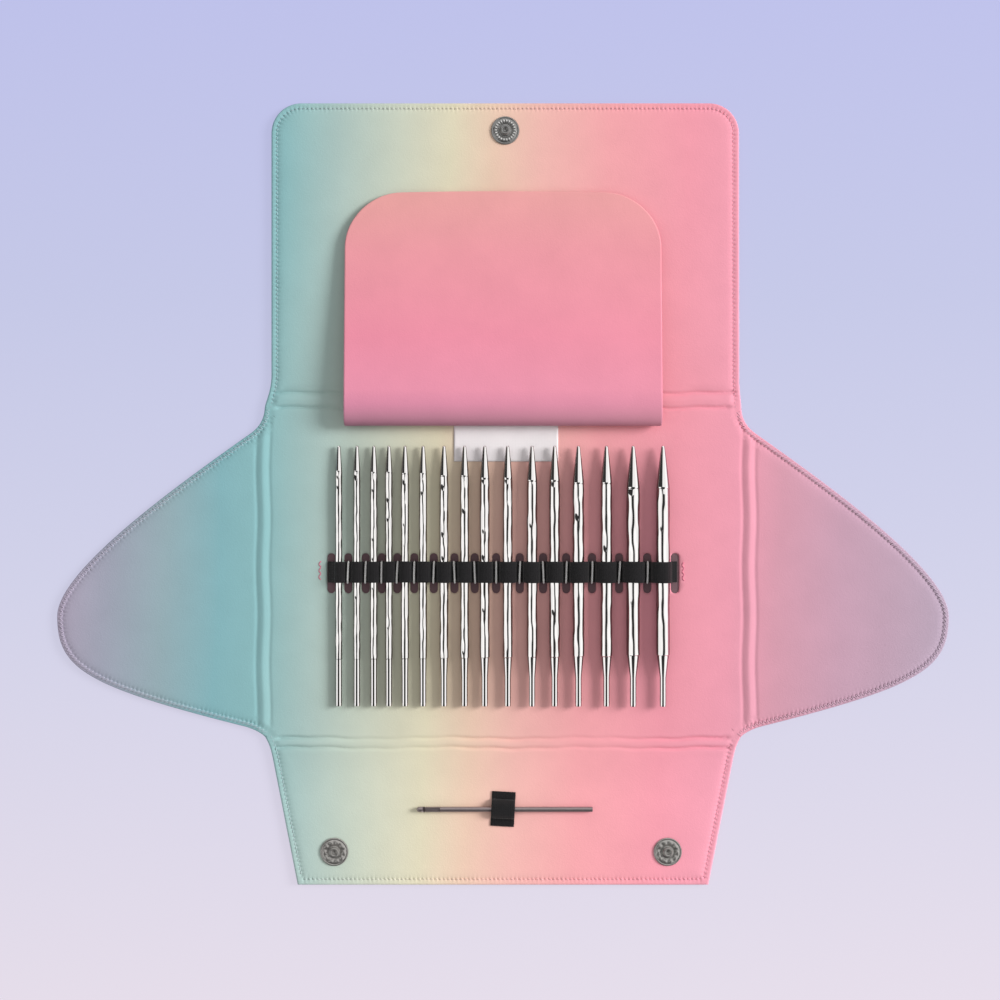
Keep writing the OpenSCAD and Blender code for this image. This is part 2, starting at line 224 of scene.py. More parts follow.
def setUp(tree, node, settings):
    # a setting is an attribute of the node, or one of its inputs, which takes a value or a link
    for key, value in settings.items():
        if isinstance(key, str) and hasattr(node, key):
            setattr(node, key, value)
        elif isinstance(value, bpy.types.NodeSocket):
            tree.links.new(value, node.inputs[key])
        else:
            node.inputs[key].default_value = value


def addNode(tree, kind, settings=None):
    node = tree.nodes.new(kind)
    setUp(tree, node, settings or {})
    return node


def ramp(tree, stops, factor):
    # stops: place and sRGB hex colour
    node = addNode(tree, "ShaderNodeValToRGB", {"Fac": factor})
    marks = node.color_ramp.elements
    marks.remove(marks[1])
    for i, (place, colour) in enumerate(stops.items()):
        mark = marks.new(place) if i else marks[0]
        mark.position, mark.color = place, linear(colour)
    return node.outputs["Color"]


def maths(tree, how, a, b, clamp=False):
    return addNode(tree, "ShaderNodeMath", {"operation": how, "use_clamp": clamp, 0: a, 1: b}).outputs[0]


def mapRange(tree, value, low=0.0, high=1.0, to=(0.0, 1.0), kind="LINEAR"):
    return addNode(tree, "ShaderNodeMapRange", {
        "interpolation_type": kind, "Value": value, "From Min": low, "From Max": high,
        "To Min": to[0], "To Max": to[1]}).outputs[0]


def mixColour(tree, factor, a, b, how="MIX"):
    return addNode(tree, "ShaderNodeMix", {
        "data_type": "RGBA", "blend_type": how, 0: factor, 6: a, 7: b}).outputs[2]


def grey(tree, value):
    return addNode(tree, "ShaderNodeCombineColor", {0: value, 1: value, 2: value}).outputs[0]


def mottle(tree, place, scale, detail, roughness=0.5):
    return addNode(tree, "ShaderNodeTexNoise", {
        "Vector": place, "Scale": scale, "Detail": detail, "Roughness": roughness}).outputs["Fac"]


def relief(tree, height, strength, distance):
    return addNode(tree, "ShaderNodeBump", {
        "Height": height, "Strength": strength, "Distance": distance}).outputs[0]


def sheetPlace(tree):
    # place on the printed sheet in metres, from the UV map, so that it stays put when cloth folds
    uv = addNode(tree, "ShaderNodeUVMap", {"uv_map": "sheet"})
    move = addNode(tree, "ShaderNodeVectorMath", {"operation": "SUBTRACT", 0: uv.outputs[0], 1: (0.5, 0.5, 0)})
    split = addNode(tree, "ShaderNodeSeparateXYZ", {0: move.outputs[0]})
    return move.outputs[0], split.outputs[0], split.outputs[1]


printed = {
    "reach": 230, "lean": -0.05, "sway": 0.01,  # half the rainbow's width, its lean and its slow waver
    "grain": 0.16, "sheen": 0.05,
    # x place in mm along the sheet: colour of the printed rainbow there
    "colours": {
        -220: "b1a5ba", -196: "a3a6b7", -168: "98b0b8", -140: "86b6bd", -118: "8dbbbe", -92: "acc4bf",
        -62: "cad1c0", -34: "dfd7bb", -12: "eac9b3", 12: "f0b8b0", 44: "f3a6ab", 84: "f29cab",
        116: "ef9eb1", 140: "d89cae", 172: "c99fb3", 220: "b8a3b6",
    },
}


def printedSheet(name, tint=None):
    # smooth printed faux leather: soft low sheen, faint grain, colours that run across the whole case
    m, tree, shader = newMaterial(name)
    place, x, y = sheetPlace(tree)
    reach = printed["reach"]
    drift = maths(tree, "MULTIPLY", y, printed["lean"])
    wave = maths(tree, "SUBTRACT", mottle(tree, place, 9.0, 2.0), 0.5)
    sway = maths(tree, "MULTIPLY", wave, printed["sway"])
    along = maths(tree, "ADD", maths(tree, "ADD", x, drift), sway)
    factor = maths(tree, "MULTIPLY", maths(tree, "ADD", along, reach * mm), 1 / (2 * reach * mm), True)
    base = ramp(tree, {(k + reach) / (2 * reach): v for k, v in printed["colours"].items()}, factor)
    if tint:
        base = tint(tree, base, x, y)
    shade = mapRange(tree, mottle(tree, place, 55.0, 3.0, 0.55), to=(0.93, 1.06))
    pale = mapRange(tree, y, -0.118, -0.150, (1.0, 1.09))  # a little paler towards the bottom flap
    both = mixColour(tree, 1.0, base, grey(tree, maths(tree, "MULTIPLY", shade, pale)), "MULTIPLY")
    pores = addNode(tree, "ShaderNodeTexVoronoi", {"feature": "SMOOTH_F1", "Scale": 1900.0, "Vector": place})
    fine = mottle(tree, place, 700.0, 4.0)
    height = maths(tree, "ADD", pores.outputs["Distance"], fine)
    setUp(tree, shader, {
        "Base Color": both, "Normal": relief(tree, height, printed["grain"], 0.00025),
        "Roughness": mapRange(tree, fine, to=(0.5, 0.66)), "Specular IOR Level": 0.35,
        "Sheen Weight": printed["sheen"], "Sheen Roughness": 0.5})
    return m


def shadedFlapColours(tree, base, x, y):
    # the needle flap is cut from the pink end of the print: salmon at its free edge; the darker mauve at its
    # root is painted shade where the flap rolls over
    pink = ramp(tree, {0.0: "e8a49f", 0.25: "eb99a2", 0.6: "ee90a6", 0.82: "ea93ac", 0.88: "d98aa5",
                       0.94: "b87d92", 0.98: "98677a"}, mapRange(tree, y, 0.150, 0.030))
    return mixColour(tree, mapRange(tree, x, -0.08, 0.09, (0.0, 0.35)), pink, linear("f49dac"))


def threadTint(tree, base, x, y):
    # clear orchid thread that takes up most of the print's colour under it
    return mixColour(tree, 0.25, base, linear("cfc0cf"))


def plainCloth(name, hexColour, weave, bump, roughness):
    m, tree, shader = newMaterial(name)
    place = sheetPlace(tree)[0]
    spots = mottle(tree, place, 60.0, 3.0)
    threads = maths(tree, "MAXIMUM", *[addNode(tree, "ShaderNodeTexWave", {
        "Scale": weave / 6.28, "bands_direction": way, "Vector": place}).outputs["Fac"] for way in "XY"])
    setUp(tree, shader, {
        "Base Color": mixColour(tree, spots, darker(hexColour, 0.82), linear(hexColour)),
        "Normal": relief(tree, threads, bump, 0.0002), "Roughness": roughness, "Sheen Weight": 0.1})
    return m


def metal(name, hexColour, roughness, grime=0.0, bump=0.02, spotting=800.0, metallic=1.0, brightBand=None,
          paintedSideShade=None):
    m, tree, shader = newMaterial(name)
    coords = addNode(tree, "ShaderNodeTexCoord")
    spots = mottle(tree, coords.outputs["Object"], spotting, 3.0)
    colour = mixColour(tree, spots, darker(hexColour, 1 - grime), linear(hexColour))
    if brightBand:
        # bright between two heights
        height = addNode(tree, "ShaderNodeSeparateXYZ", {"Vector": coords.outputs["Object"]}).outputs["Z"]
        bright = ramp(tree, {0.0: "000000", 0.35: "ffffff", 0.8: "ffffff", 1.0: "000000"},
                      mapRange(tree, height, brightBand[0] * mm, brightBand[1] * mm))
        colour = mixColour(tree, bright, colour, linear("f1efec"))
    if paintedSideShade:
        # painted shade: the needles' UV map says how far a place is from the top, and the sides and underside
        # take the darker colour
        share = mapRange(tree, sheetPlace(tree)[1], 0.0, 0.1)
        colour = mixColour(tree, share, colour, linear(paintedSideShade))
    setUp(tree, shader, {
        "Base Color": colour, "Normal": relief(tree, spots, bump, 0.0001), "Metallic": metallic,
        "Roughness": mapRange(tree, spots, to=(roughness * 0.8, roughness * 1.25))})
    return m


liningPrint = printedSheet("printed faux leather lining")
# the needle flap's print, with painted shade at its root
shadedFlapSheet = printedSheet("printed faux leather needle flap", shadedFlapColours)
# colour, weave, relief of the weave, roughness
coverCloth = plainCloth("pink outer cover", "d58aa6", 900.0, 0.15, 0.6)  # reads as smooth cloth
threadClear = printedSheet("clear orchid sewing thread", threadTint)  # barely shows
threadRose = plainCloth("rose sewing thread", "e5809a", 3000.0, 0.4, 0.7)
threadWhite = plainCloth("white bar tack thread", "fffdfb", 3000.0, 0.3, 0.65)
labelCloth = plainCloth("white woven label", "fdf7f8", 2600.0, 0.12, 0.8)
# ribbed weave that keeps light off
elasticBlack = plainCloth("black woven elastic", "141214", 1700.0, 0.7, 0.85)
# painted shade: the backing's dark colour stands for the shade down in the slots
slotShadeCloth = plainCloth("backing cloth in the slots, darkened with painted shade", "7f646a", 1500.0, 0.3, 0.9)
foamBoard = plainCloth("grey foam board", "b9b8b4", 500.0, 0.2, 0.9)
# mirror bright, so it shows the studio; painted shade darkens its sides and underside, which draws its dark
# outline on the cloth
chrome = metal("nickel plated brass", "f6f3f1", 0.045, paintedSideShade="857b79")
# worn, so it takes some plain light
snapMetal = metal("aged nickel snap", "b0ada9", 0.3, 0.3, 0.08, 900.0, 0.75)
# painted shade: darker than the other snaps' nickel; its bead tops brighter
shadedSnap = metal("nickel snap darkened with painted shade", "9b9a98", 0.3, 0.35, 0.08, 900.0, 0.75, (4.1, 4.5))
rodSteel = metal("dark steel rod", "9c8f90", 0.3, 0.25, 0.05, 700.0, 0.7)
print("materials made")


# shape of the whole case

case = {
    "centreHalfWidth": 118.0, "centreTop": 42.5, "centreBottom": -121.5,
    "inset": 5.0,  # the centre's own mesh ends this far inside its folds, where the cloth is flat
    "upperCorner": 119.0, "lowerCorner": 118.6,  # x of the inner corners, where two flaps meet
    "topShift": 1.1, "topHalfWidth": 116.7, "topCorner": 15.0, "halfLength": 195.0,
    "bottomRoot": 115.5, "bottomFree": 102.5, "wingReach": 222.5, "wingTipDrop": 61.0,
}
# each side fold stands up as a soft ridge, with a shallow valley on both sides
ridge = {"left": -119.5, "right": 122.6, "high": 0.55, "wide": 1.7, "valley": 0.30, "beside": 3.3}
surface = {
    "rim": 2.72, "top": 3.0, "highest": 3.62,  # heights of the lining
    "turn": 0.9, "turnMiddle": 1.0,  # radius of the turned edge, and the height that both sides curve to
    "recess": 7.35, "recessTop": 0.68,  # the mating snaps sit in the covers
}
seam = {
    "in": 3.0, "pitch": 2.1, "zigzag": 2.0, "slant": 0.25, "short": 0.12,  # short: its free share at both ends
    "radius": 0.2, "windingRadius": 0.25, "lift": 2.6,  # the thread's thickness and its height
    "pit": 0.42, "gather": 0.26, "pull": 0.5, "gatherReach": 1.9,  # how it pulls the cloth down
}
folds = {
    # its middle, half the gap between its two creases, the bulge between them and the depth of the creases
    "top": {"y": 46.6, "half": 3.7, "bulge": 0.42, "depth": 0.75, "ends": [(-117, 46.5), (118, 46.5)]},
    # bulges less, because the needles slide out over it
    "bottom": {"y": -124.2, "half": 2.4, "bulge": 0.14, "depth": 0.85,
               "ends": [(-116, -124.5), (116, -124.5)]},
}
upperLeft, upperRight = [(s * case["upperCorner"], case["centreTop"]) for s in (-1, 1)]
lowerLeft, lowerRight = [(s * case["lowerCorner"], case["centreBottom"]) for s in (-1, 1)]
innerCorners = [upperLeft, upperRight, lowerLeft, lowerRight]


def wingEdge():
    # free edge of the right wing, from the lower corner round the tip to the upper corner
    tip = np.array([case["wingReach"], -case["wingTipDrop"]])
    low, high = np.array([128.0, -116.3]), np.array([126.0, 30.3])
    return resample(np.concatenate([
        cubic(lowerRight, (120.0, -119.4), low - (3.0, 0.9), low, 8)[:-1],
        cubic(low, low + (81.5, 20.4), tip - (0, 26), tip, 60)[:-1],
        cubic(tip, tip + (0, 22.5), high + (38.5, -27.2), high, 60)[:-1],
        cubic(high, high - (5.2, -3.7), (119.3, 38.4), upperRight, 12)]), 0.75)


def topEdge():
    # from the right end of the fold round the top to the left end
    hw, s = case["topHalfWidth"], case["topShift"]
    return resample(np.concatenate([
        cubic(upperRight, (118.8, 46), (hw + s + 0.4, 50), (hw + s, 58), 10)[:-1],
        roundedTop(hw, case["halfLength"], case["topCorner"], s),
        cubic((-hw + s, 58), (-hw + s - 0.4, 50), (-118.8, 46), upperLeft, 10)]), 0.75)


def bottomEdge():
    # from the left end of the fold round the bottom to the right end, with square corners
    root, free, low = case["bottomRoot"], case["bottomFree"], -case["halfLength"]
    left = cubic(lowerLeft, (-117.2, -124), (-root - 0.6, -126), (-root + 0.6, -132), 8)
    left = np.concatenate([left[:-1], [(-root + 0.6, -132), (-free, low)]])
    flip = left[::-1] * (-1, 1)
    return [resample(left, 0.75), resample([left[-1], flip[0]], 0.75), resample(flip, 0.75)]


def foldRise(points):
    # side folds stand up as a soft ridge; the other two bulge a little between two pressed creases
    x, y = points[:, 0], points[:, 1]
    side = smooth(44, 34, y) * smooth(-123, -114, y)
    rise = np.zeros(len(points))
    for centre in (ridge["left"], ridge["right"]):
        off = x - centre + 0.35 * np.sin(y * 0.13)
        valley = ridge["valley"] * bell(np.abs(off) - ridge["beside"], 0.9)
        rise += side * (ridge["high"] * bell(off, ridge["wide"]) - valley)
    across = smooth(121, 112, np.abs(x - 0.5))
    # pressed hardest near both ends of the fold
    worn = 0.75 + 0.5 * smooth(60, 112, np.abs(x)) + 0.25 * np.sin(x * 0.061 + 2)
    for fold in folds.values():
        off = y - fold["y"] + 0.35 * np.sin(x * 0.09 + 1) + 0.2 * np.sin(x * 0.31)
        creases = worn * fold["depth"] * bell(np.abs(off) - fold["half"], 0.85)
        rise += across * (fold["bulge"] * bell(off, fold["half"] * 0.55) - creases)
    return rise


def cornerGap(points):
    return np.min([np.hypot(points[:, 0] - x, points[:, 1] - y) for x, y in innerCorners], axis=0)


def stitchHoles(lines, pitch):
    # where the needle went through, one hole at each end of a stitch
    return np.concatenate([placesAt(line, np.arange(pitch * 0.1, runLengths(line)[-1], pitch))
                           for line in lines])


def puckers(points, edge, holes):
    # the thread pulls a small pit at each hole and a short gather beside it
    tree = kdtree.KDTree(len(holes))
    for i, h in enumerate(holes):
        tree.insert((h[0], h[1], 0), i)
    tree.balance()
    drop = np.zeros(len(points))
    for i in np.nonzero(edge < 8)[0]:
        gap = tree.find((points[i, 0], points[i, 1], 0))[2]
        inward = edge[i] - seam["in"]
        along = math.sqrt(max(0.0, gap * gap - inward * inward))
        pit = seam["pit"] * math.exp(-(gap / seam["pull"]) ** 2)
        gather = math.exp(-(along / seam["pull"]) ** 2) * math.exp(-(inward / seam["gatherReach"]) ** 2)
        drop[i] = pit + seam["gather"] * gather
    return drop


def turnedIn(z, edge):
    # the cloth is turned in at its free edge, so it curves round to the panel's middle
    middle = surface["turnMiddle"]
    return np.where(edge < surface["turn"], middle + (z - middle) * quarterRound(edge, surface["turn"]), z)


def topHeight(points, edge, holes):
    # the lining's upper side: turned edge, sunk stitch line, flat middle
    z = surface["rim"] + (surface["top"] - surface["rim"]) * smooth(3.0, 6.0, edge)
    z += 0.10 * ripple(points, 6.5, 3.1) * smooth(7, 1.5, edge)
    z += 0.07 * ripple(points, 30, 8.7) * smooth(3, 12, edge)
    calm = smooth(3.5, 8, cornerGap(points))  # the cloth lies smooth where the edges of two flaps meet
    z += foldRise(points) * smooth(0.5, 6, edge) * calm
    z -= puckers(points, edge, holes) * calm
    return np.minimum(turnedIn(z, edge), surface["highest"])


def underHeight(points, edge, recesses=()):
    # the cover's lower side, with a flat floor under each mating snap
    z = 0.03 + 0.35 * smooth(3.5, 1.2, edge) + 0.14 * bell(edge - seam["in"], 0.5)
    z = turnedIn(z + 0.25 * np.clip(-foldRise(points), 0, 1), edge)
    for x, y in recesses:
        away = np.hypot(points[:, 0] - x, points[:, 1] - y)
        z = np.where(away < surface["recess"], surface["recessTop"], z)
    return z


density = {
    # how far rows of points stand from a free edge, from a slot and from the middle of a snap
    "edgeRows": (0.1, 0.3, 0.6, 0.95, 1.4, 1.9, 2.3, 2.7, 3.1, 3.6, 4.2, 4.9, 6.4),
    "slotRows": (0.18, 0.45, 0.9, 1.6), "snapRows": (6.9, 7.3, 7.4, 8.0, 9.0),
    "crease": 0.45, "corner": 0.8, "closest": 0.22,  # steps across a crease and round an inner corner
}


def layOut(loop, free, creases=(), holes=(), circles=(), step=3.4):
    # points on and inside an outline, dense at its free edges and creases, joined into triangles
    edges, extra, start = [], [], 0
    for outline in (loop, *holes):
        edges += [(start + i, start + (i + 1) % len(outline)) for i in range(len(outline))]
        start += len(outline)
    for line in free:
        for gap in density["edgeRows"]:
            moved = leftOf(line, gap)
            extra.append(moved if gap < 5 else moved[::2])
    creases = [np.array(crease, float) for crease in creases]
    for a, b in creases:
        way = (b - a) / np.linalg.norm(b - a)
        side = np.array([-way[1], way[0]])
        base = resample([a, b], 2.2)
        extra += [base + side * gap for gap in np.arange(-5.5, 5.6, density["crease"])]
    for hole in holes:
        centre = hole.mean(0)
        out = hole - centre
        far = np.linalg.norm(out, axis=1)
        extra += [centre + out * (1 + grow / far)[:, None] for grow in density["slotRows"]]
    for corner in innerCorners:
        gx, gy = np.meshgrid(*[np.arange(c - 9, c + 9.1, density["corner"]) for c in corner])
        extra.append(np.stack([gx.ravel(), gy.ravel()], 1))
    for x, y in circles:
        a = np.linspace(0, 2 * np.pi, 56)[:-1]
        extra += [np.stack([x + r * np.cos(a), y + r * np.sin(a)], 1) for r in density["snapRows"]]
    low, high = loop.min(0), loop.max(0)
    gx, gy = np.meshgrid(np.arange(low[0], high[0], step), np.arange(low[1], high[1], step * 0.87))
    gx[1::2] += step / 2
    grid = np.stack([gx.ravel(), gy.ravel()], 1)
    keep = (distanceTo(grid, free) > 7.5) & (distanceTo(grid, creases) > 6.0)
    for hole in holes:
        keep &= np.linalg.norm(grid - hole.mean(0), axis=1) > 0.5
    loose = np.concatenate(extra + [grid[keep]])
    ok = inside(loose, loop) & (distanceTo(loose, [closed(loop)]) > 0.06)
    for hole in holes:
        ok &= ~inside(loose, hole) & (distanceTo(loose, [closed(hole)]) > 0.1)
    # keep one of any two points that nearly touch
    loose = loose[ok]
    first = np.unique(np.round(loose / density["closest"]).astype(int), axis=0, return_index=True)[1]
    points = np.concatenate([loop, *holes, loose[np.sort(first)]])
    verts, _, faces, *_ = delaunay_2d_cdt([Vector(p) for p in points], edges, [], 0, 1e-5)
    verts = np.array([tuple(v) for v in verts])
    middle = np.array([verts[list(f)].mean(0) for f in faces])
    good = inside(middle, loop)
    for hole in holes:
        good &= ~inside(middle, hole)
    return verts, [list(f) for f, g in zip(faces, good) if g]


# along a stitch, from one hole to the next: share of its length, thickness and height of the thread
stitchShape = [(0, 0.3, -0.9), (0.1, 0.85, -0.2), (0.35, 1, 0.3), (0.65, 1, 0.3), (0.9, 0.85, -0.2),
               (1, 0.3, -0.9)]


def threadBit(start, end, radius, lift):
    # one capsule of thread on the sheet, dipping into its holes
    way = end - start
    side = np.array([-way[1], way[0]]) / max(np.linalg.norm(way), 1e-6)
    verts = []
    for s, r, h in stitchShape:
        for c, sn in around(6):
            across = start + way * s + side * radius * r * c
            verts.append((across[0], across[1], lift + radius * (h + r * sn)))
    return verts, tubeFaces(len(stitchShape), 6, True)


def stitches(name, lines, material, pitch, radius, lift, zigzag=0.0):
    # a straight row, or a zigzag that reaches from the line towards the edge
    parts = []
    for line in lines:
        holes = stitchHoles([line], pitch)
        outer = stitchHoles([leftOf(line, -zigzag)], pitch) if zigzag else holes
        for k in range(min(len(holes), len(outer)) - 1):
            p, q = holes[k], holes[k + 1]
            if zigzag:
                middle = (outer[k] + outer[k + 1]) / 2
                parts += [threadBit(p, middle, radius, lift), threadBit(middle, q, radius, lift)]
            else:
                side = np.array([q[1] - p[1], p[0] - q[0]]) * seam["slant"] * random.uniform(0.3, 0.6)
                short = (q - p) * seam["short"]
                parts.append(threadBit(p + short - side, q - short + side, radius, lift))
    return makeObject(name, *joined(parts), material)


def panel(name, loop, free, creases, recesses=(), holes=()):
    # a lining above and a cover below that meet at the turned edge; the neighbours' edges count too, so that
    # the meshes meet at the same height
    verts, faces = layOut(loop, free, creases, holes)
    edge = distanceTo(verts, list(free) + cornerEdges)
    z = topHeight(verts, edge, allHoles)
    for hole in holes:
        # the lining is pressed down round each slot
        z -= slot["press"] * (1 - quarterRound(distanceTo(verts, [closed(hole)]), slot["pressReach"]))
    lining = makeObject(name + " lining", np.c_[verts, z], faces, liningPrint)
    if holes or recesses:
        verts, faces = layOut(loop, free, creases, (), recesses)
        edge = distanceTo(verts, list(free) + cornerEdges)
    z = underHeight(verts, edge, recesses)
    cover = makeObject(name + " cover", np.c_[verts, z], [f[::-1] for f in faces], coverCloth)
    panels[name] = loop, lining, cover


# centre panel, with a slot on each side of every needle

needles = {
    "sizes": [3.5, 3.75, 4, 4.5, 5, 5.5, 6, 7],
    "gaps": [9, 8.4, 7.5, 8, 9, 10.4, 10.2, 10, 11.4, 12.1, 11.2, 11.8, 13.9, 13.2, 14.8],
    "firstX": -81.6, "tipY": 24.0, "length": 129.5, "rest": 3.3,
    "pointRadius": 0.82, "pointLength": 13, "neckFrom": 23.5, "shankLength": 14.5, "shank": 3.1,
    "longerPoint": 2.4, "longerNeck": 0.6,  # for each millimetre that a needle is thicker than the thinnest
    "dent": 0.16, "press": 1.3, "cells": 160,  # depth and length of the presses, and how many of each face
    "socket": 0.85, "socketDepth": 3.5,
}
slot = {
    "width": 4, "length": 20, "before": 3.9, "after": 6.3,  # how far the two end slots stand off
    "press": 0.75, "pressReach": 1.0, "backLength": 180, "backWidth": 24, "backLift": 2.31,
}
bandY = -39.5  # where the elastic crosses the needles
needleD = [size for size in needles["sizes"] for pair in "ab"]
needleX = [needles["firstX"] + sum(needles["gaps"][:i]) for i in range(len(needleD))]
slotX = [needleX[0] - slot["before"]] + [(a + b) / 2 for a, b in zip(needleX, needleX[1:])]
slotX.append(needleX[-1] + slot["after"])


def stadium(cx, cy, w, l):
    r, h = w / 2, l / 2 - w / 2
    a = np.linspace(0, np.pi, 9)
    up = np.stack([cx + r * np.cos(a), cy + h + r * np.sin(a)], 1)
    down = np.stack([cx - r * np.cos(a), cy - h - r * np.sin(a)], 1)
    return resample(closed(np.concatenate([up, down])), 0.9)[:-1]


freeEdges = {"left wing": [(wingEdge() * (-1, 1))[::-1]], "right wing": [wingEdge()],
             "top flap": [topEdge()], "bottom flap": bottomEdge()}
cornerEdges = [part for lines in freeEdges.values() for line in lines for part in (line[:24], line[-24:])]
stitchRows = {name: [leftOf(line, seam["in"]) for line in lines] for name, lines in freeEdges.items()}
# at the bottom flap's square corners each run of stitches stops where the next one starts
left, low, right = stitchRows["bottom flap"]
stitchRows["bottom flap"] = [left[:-4], low[4:-4], right[4:]]
outerRows = [leftOf(freeEdges[wing][0], seam["in"] - seam["zigzag"]) for wing in ("left wing", "right wing")]
allHoles = stitchHoles([row for rows in stitchRows.values() for row in rows] + outerRows, seam["pitch"])
panels = {}  # name: outline, lining and cover
innerX = case["centreHalfWidth"] - case["inset"]
innerTop, innerBottom = case["centreTop"] - case["inset"], case["centreBottom"] + case["inset"]
slots = [stadium(x, bandY, slot["width"], slot["length"]) for x in slotX]
corners = [(-innerX, innerBottom), (innerX, innerBottom), (innerX, innerTop), (-innerX, innerTop)]
centreLoop = np.concatenate([resample([a, b], 1.6)[:-1] for a, b in zip(corners, corners[1:] + corners[:1])])
panel("centre", centreLoop, [], (), (), slots)
centreLoop, centreLining, centreCover = panels["centre"]
for o, n in ((centreLining, "centre_lining"), (centreCover, "centre_cover")):
    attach(o, "centre")
    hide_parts(n)
print("centre panel made")


# wings and flaps: each meets the centre panel at its fold

recessAt = {"left wing": [(-158.0, -70.8)], "right wing": [(160.0, -70.8)], "bottom flap": [(1.1, -161.0)]}


def rootLine(points):
    # inner border of a flap's mesh, through the corners of the centre's own mesh
    return np.concatenate([resample(pair, 1.6)[:-1] for pair in zip(points, points[1:])])[1:]


def makeWing(name, s, upper, lower, ridgeX):
    root = rootLine([upper, (s * innerX, innerTop), (s * innerX, innerBottom), lower])
    line = freeEdges[name][0]
    loop = np.concatenate([line, root if s > 0 else root[::-1]])
    panel(name, loop, [line], [[(ridgeX, innerBottom), (ridgeX, innerTop)]], recessAt[name])


makeWing("left wing", -1, upperLeft, lowerLeft, ridge["left"])
makeWing("right wing", 1, upperRight, lowerRight, ridge["right"])
root = rootLine([upperLeft, (-innerX, innerTop), (innerX, innerTop), upperRight])
line = freeEdges["top flap"][0]
panel("top flap", np.concatenate([line, root]), [line], [folds["top"]["ends"]])
root = rootLine([lowerRight, (innerX, innerBottom), (-innerX, innerBottom), lowerLeft])
left, low, right = freeEdges["bottom flap"]
panel("bottom flap", np.concatenate([left[:-1], low[:-1], right, root]), [left, low, right],
      [folds["bottom"]["ends"]], recessAt["bottom flap"])
print("wings and flaps made")

# a thread that winds over the edge of both wings, and straight rows round the flaps
stitched = {}
for name, rows in stitchRows.items():
    radius, zigzag = (seam["windingRadius"], seam["zigzag"]) if "wing" in name else (seam["radius"], 0.0)
    stitched[name] = stitches(name + " stitching", rows, threadClear, seam["pitch"], radius, seam["lift"],
                              zigzag)


# where the bend starts and ends, and whether the flap is named first; no bend is set up here, each piece only
# has its place baked in
bends = {
    "left wing": ((-118 * mm, 0, 0), (-124 * mm, 0, 0), False),
    "right wing": ((118 * mm, 0, 0), (124 * mm, 0, 0), True),
    "top flap": ((0, 42.5 * mm, 0), (0, 50.5 * mm, 0), False),
    "bottom flap": ((0, -121.5 * mm, 0), (0, -127.5 * mm, 0), True),
}
for name, (start, end, flapFirst) in bends.items():
    loop, lining, cover = panels[name]
    body, prefix = name.replace(" ", "_"), name.split()[0]
    for o in (lining, cover, stitched[name]):
        if flapFirst:
            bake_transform(o)
        else:
            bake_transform(o)
    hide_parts(prefix + "_lining", prefix + "_fold")
    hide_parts(prefix + "_cover")
print("stitching made")


# needle flap: up from its foot, rolled forward and back over the top flap

flap = {"halfWidth": 78.5, "corner": 28.0, "crown": 1.2, "thick": 1.1, "edgeRound": 0.5, "wave": 0.35}
# side view (y, z) of the flap's outer face, from its foot to its free end
flapSide = np.array([(41.5, 3.25), (38.2, 3.6), (35.2, 4.9), (33.7, 7.3), (33.9, 9.9), (35.8, 12.0),
                     (39.2, 13.1), (44.0, 13.25), (52.0, 12.75), (75.0, 11.0), (110.0, 8.2), (150.5, 5.15)])


def rounded(line):
    # a smooth curve through the points
    p = np.vstack([2 * line[0] - line[1], line, 2 * line[-1] - line[-2]])
    out = []
    t = np.linspace(0, 1, 23, endpoint=False)[:, None]
    for i in range(1, len(p) - 2):
        a, b, c, d = p[i - 1:i + 3]
        out.append(0.5 * (2 * b + (c - a) * t + (2 * a - 5 * b + 4 * c - d) * t ** 2
                          + (3 * b - a - 3 * c + d) * t ** 3))
    return np.vstack(out + [p[-2:-1]])


flapCurve = resample(rounded(flapSide), 0.8)
flapRuns, flapWay = runLengths(flapCurve), wayOf(flapCurve)


def flapPlace(points, depth):
    # sheet place (x, run) and depth below the outer face, to a place in the frame
    run = np.clip(points[:, 1], 0, flapRuns[-1])
    y, z, wy, wz = (np.interp(run, flapRuns, values) for values in (*flapCurve.T, *flapWay.T))
    return np.stack([points[:, 0], y + wz * depth, z - wy * depth], 1)


w, end = flap["halfWidth"], flapRuns[-1]
flapFree = resample(np.concatenate([[(w, 0)], roundedTop(w, end, flap["corner"]), [(-w, 0)]]), 1.1)
# the free end is cut with a slight crown
flapFree[:, 1] -= flap["crown"] * (flapFree[:, 0] / w) ** 2 * smooth(end - 40, end, flapFree[:, 1])
flapLoop = np.concatenate([flapFree, resample([(-w, 0), (w, 0)], 1.6)[1:-1]])
flapVerts, flapFaces = layOut(flapLoop, [flapFree], step=2.6)
waves = flap["wave"] * ripple(flapVerts, 34, 1.3) * smooth(16, 60, flapVerts[:, 1])
half = flap["thick"] / 2
swell = half * quarterRound(distanceTo(flapVerts, [flapFree]), flap["edgeRound"])
flapFlat = np.stack([flapVerts[:, 0], np.interp(flapVerts[:, 1], flapRuns, flapCurve[:, 0])], 1)
above, below = flapPlace(flapVerts, half - swell - waves), flapPlace(flapVerts, half + swell - waves)
flapFace = makeObject("needle flap face", above, flapFaces, shadedFlapSheet, flapFlat)
flapBack = makeObject("needle flap backing", below, [f[::-1] for f in flapFaces], coverCloth, flapFlat)
for o in (flapFace, flapBack):
    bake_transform(o)
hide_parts("needle_flap_face", "flap_hem", "flap_riser")
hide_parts("needle_flap_backing")
print("needle flap made")


# elastic, bar tacks and the cloth seen in the slots

elastic = {
    "width": 10.5, "thick": 0.7, "low": 3.7, "up": 0.7,  # up: how far its middle is above bandY
    "foot": 1.8, "needleGap": 0.75, "slack": 0.3, "power": 2.3,  # how it stands between and over the needles
}
tack = {"length": 11.6, "radius": 0.58, "up": 0.5, "lift": 4.65, "droop": 1.3, "turns": 40}


